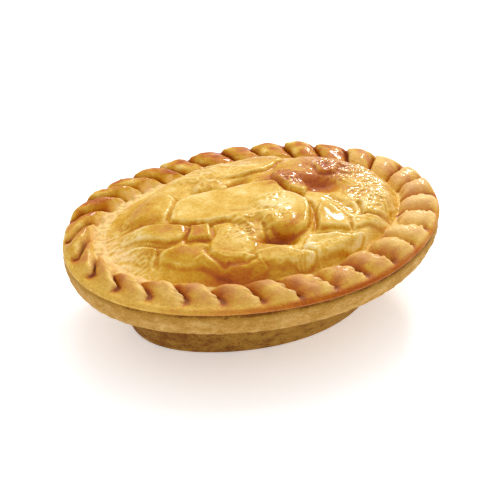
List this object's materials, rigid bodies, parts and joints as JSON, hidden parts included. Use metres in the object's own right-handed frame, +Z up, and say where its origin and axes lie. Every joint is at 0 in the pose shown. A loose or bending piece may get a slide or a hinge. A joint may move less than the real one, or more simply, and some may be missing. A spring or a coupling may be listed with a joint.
{
  "type": "chicken and mushroom pie",
  "caption": "Oval single-portion meat pie with a tapered pastry case, a rope-crimped rim and a lumpy glazed lid.",
  "frame": {"origin": "middle of the part's outline, on the flat underside it stands on", "axes": "+X along the oval's length, +Z up out of the lid"},
  "size_m": [0.1386, 0.106, 0.0421],
  "materials": {
    "glazed_pastry": "egg-glazed, golden brown, glossy on the lid and satin on the crimps",
    "pale_pastry": "dry, matte, pale straw, finely mottled with brown"
  },
  "bodies": {
    "root": {"pastry_lid": "glazed_pastry", "pastry_case": "pale_pastry"}
  },
  "joints": []
}
